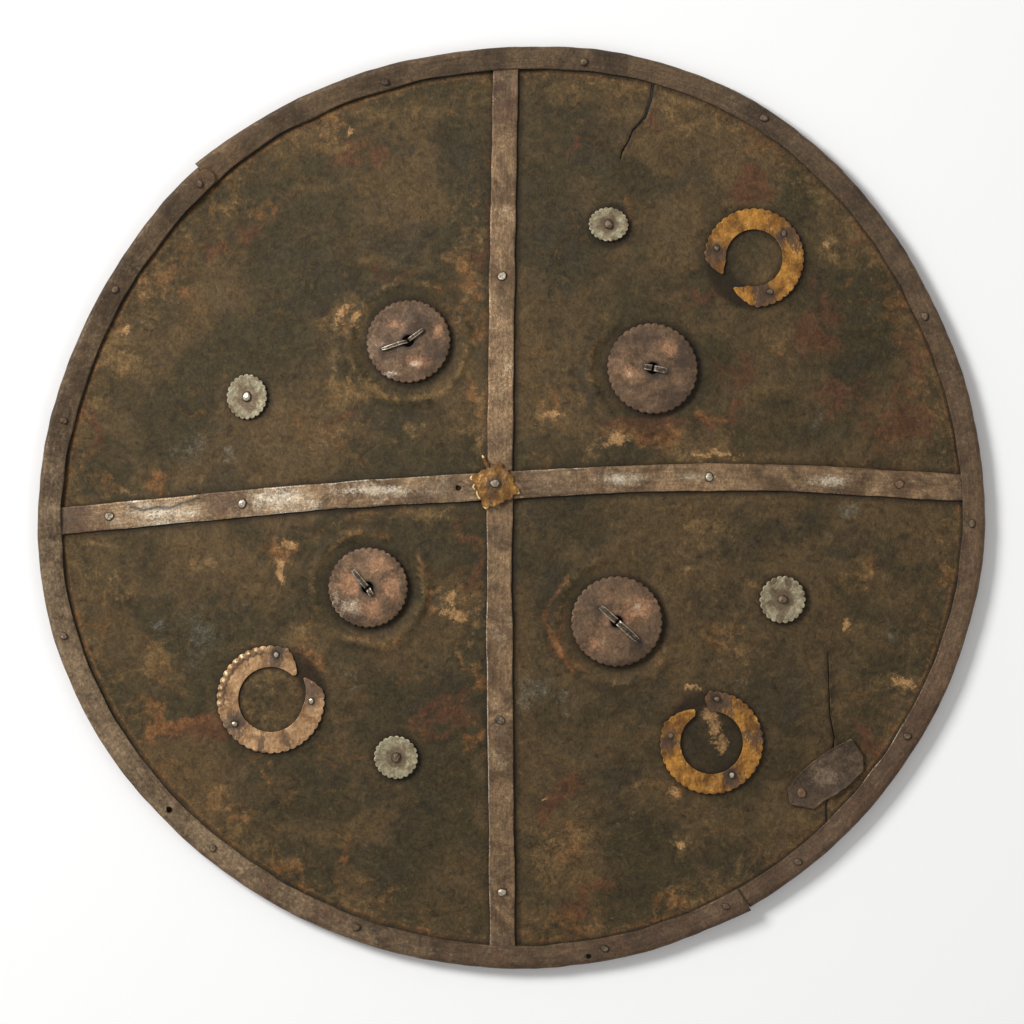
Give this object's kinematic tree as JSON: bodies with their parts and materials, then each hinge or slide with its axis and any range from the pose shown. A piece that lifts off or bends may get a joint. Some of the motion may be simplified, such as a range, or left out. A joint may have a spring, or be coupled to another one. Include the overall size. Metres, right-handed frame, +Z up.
{
  "type": "buckler shield",
  "caption": "Round dished rawhide hand shield with an iron rim, crossed iron straps, brass rosette and crescents, scalloped washers and split pins.",
  "frame": {"origin": "middle of the rim's flat back, on the ground when the shield lies face up", "axes": "+Z up out of the face, +Y towards the top of the face, +X towards its right-hand side"},
  "size_m": [0.5011, 0.4875, 0.0445],
  "materials": {
    "hide": "dark olive-brown rawhide, rubbed and mottled, slightly glossy",
    "rim_iron": "brown-grey hammered iron, dull",
    "strap_iron": "worn iron, rubbed bright in places",
    "washer_iron": "reddish-brown iron, dull",
    "rivet_iron": "rubbed iron",
    "pale_metal": "pale grey-green metal, dull",
    "brass": "old brass, dull with dirt"
  },
  "bodies": {
    "root": {"crescent_lower_left": "brass", "crescent_lower_right": "brass", "crescent_nail_lower_left_1": "rivet_iron", "crescent_nail_lower_left_2": "rivet_iron", "crescent_nail_lower_left_3": "rivet_iron", "crescent_nail_lower_right_1": "rivet_iron", "crescent_nail_lower_right_2": "rivet_iron", "crescent_nail_lower_right_3": "rivet_iron", "crescent_nail_upper_right_1": "rivet_iron", "crescent_nail_upper_right_2": "rivet_iron", "crescent_nail_upper_right_3": "rivet_iron", "crescent_upper_right": "brass", "disc_bottom": "pale_metal", "disc_left": "pale_metal", "disc_right": "pale_metal", "disc_rivet_bottom": "rivet_iron", "disc_rivet_left": "rivet_iron", "disc_rivet_right": "rivet_iron", "disc_rivet_top": "rivet_iron", "disc_top": "pale_metal", "hide_board": "hide", "pin_lower_left": "washer_iron", "pin_lower_right": "washer_iron", "pin_upper_left": "washer_iron", "pin_upper_right": "washer_iron", "repair_plate": "rim_iron", "repair_rivet": "rivet_iron", "rim_lower": "rim_iron", "rim_rivet_01": "rivet_iron", "rim_rivet_02": "rivet_iron", "rim_rivet_03": "rivet_iron", "rim_rivet_04": "rivet_iron", "rim_rivet_05": "rivet_iron", "rim_rivet_06": "rivet_iron", "rim_rivet_07": "rivet_iron", "rim_rivet_08": "rivet_iron", "rim_rivet_09": "rivet_iron", "rim_rivet_10": "rivet_iron", "rim_rivet_11": "rivet_iron", "rim_rivet_12": "rivet_iron", "rim_rivet_13": "rivet_iron", "rim_rivet_14": "rivet_iron", "rim_rivet_15": "rivet_iron", "rim_upper": "rim_iron", "rosette": "brass", "rosette_rivet": "rivet_iron", "strap_horizontal": "strap_iron", "strap_rivet_horizontal_1": "rivet_iron", "strap_rivet_horizontal_2": "rivet_iron", "strap_rivet_horizontal_3": "rivet_iron", "strap_rivet_horizontal_4": "rivet_iron", "strap_rivet_vertical_1": "rivet_iron", "strap_rivet_vertical_2": "rivet_iron", "strap_rivet_vertical_3": "rivet_iron", "strap_vertical": "strap_iron", "washer_lower_left": "washer_iron", "washer_lower_right": "washer_iron", "washer_upper_left": "washer_iron", "washer_upper_right": "washer_iron"}
  },
  "joints": []
}
